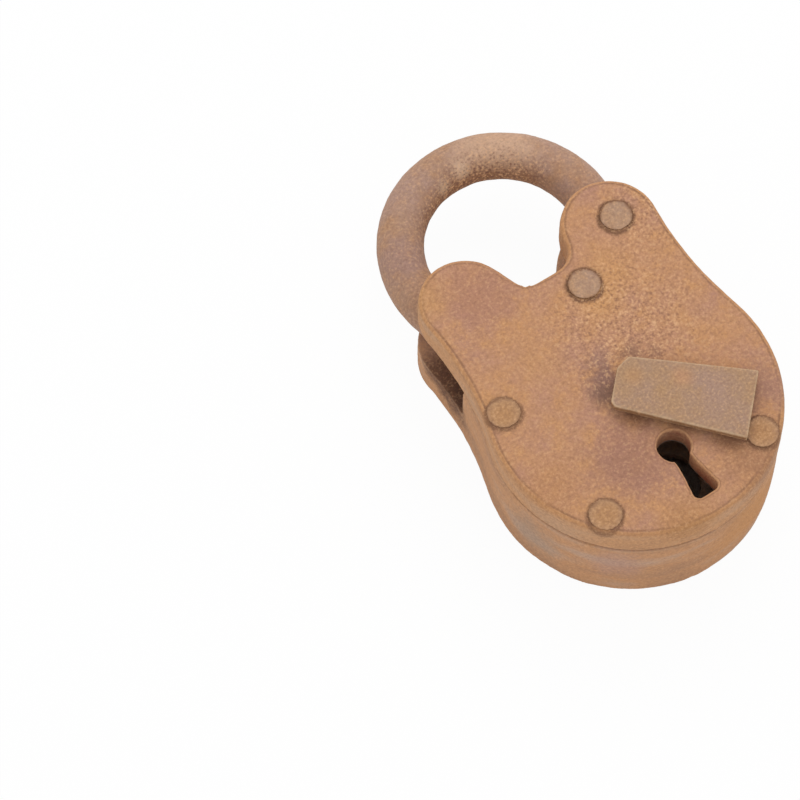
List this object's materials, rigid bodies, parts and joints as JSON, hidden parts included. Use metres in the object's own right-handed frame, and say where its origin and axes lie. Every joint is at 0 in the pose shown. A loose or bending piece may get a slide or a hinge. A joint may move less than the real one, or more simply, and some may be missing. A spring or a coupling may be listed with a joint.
{
  "type": "padlock",
  "caption": "Old rusted cast-iron padlock lying on its back, with a hinged round shackle, a swinging keyhole drop and a sliding bolt inside.",
  "frame": {"origin": "centre of the round body on the flat back face", "axes": "+Z out of the front cover, +Y along the lock towards the shackle, +X towards the hinge side of the shackle"},
  "size_m": [0.064, 0.1106, 0.0338],
  "materials": {
    "cover_rust": "matte",
    "case_rust": "matte",
    "shackle_rust": "matte",
    "drop_rust": "matte",
    "rivet_rust": "matte",
    "inner_iron": "matte",
    "spring_steel": "satin"
  },
  "bodies": {
    "case": {"rear_case": "case_rust", "front_cover": "cover_rust", "ear_rivet": "rivet_rust", "notch_rivet": "rivet_rust", "left_rivet": "rivet_rust", "lower_left_rivet": "rivet_rust", "lower_right_rivet": "rivet_rust", "bolt_stud_left": "inner_iron", "bolt_stud_right": "inner_iron", "spring_stud": "inner_iron", "ward_pillar_left": "inner_iron", "ward_pillar_right": "inner_iron", "bolt_spring": "spring_steel", "ward_plate": "inner_iron"},
    "shackle": {"shackle": "shackle_rust"},
    "drop": {"key_drop": "drop_rust"},
    "bolt": {"lock_bolt": "inner_iron"}
  },
  "joints": [
    {"name": "shackle_hinge", "type": "hinge", "parent": "case", "child": "shackle", "pos_m": [0.021, 0.03765, 0.01615], "axis": [0, 0, -1], "range_deg": [0, 110]},
    {"name": "drop_pivot", "type": "hinge", "parent": "case", "child": "drop", "pos_m": [0.0006, 0.0016, 0.0305], "axis": [0, 0, 1], "continuous": true},
    {"name": "bolt_slide", "type": "slide", "parent": "case", "child": "bolt", "axis": [-1, 0, 0], "range_m": [0, 0.0055]}
  ]
}
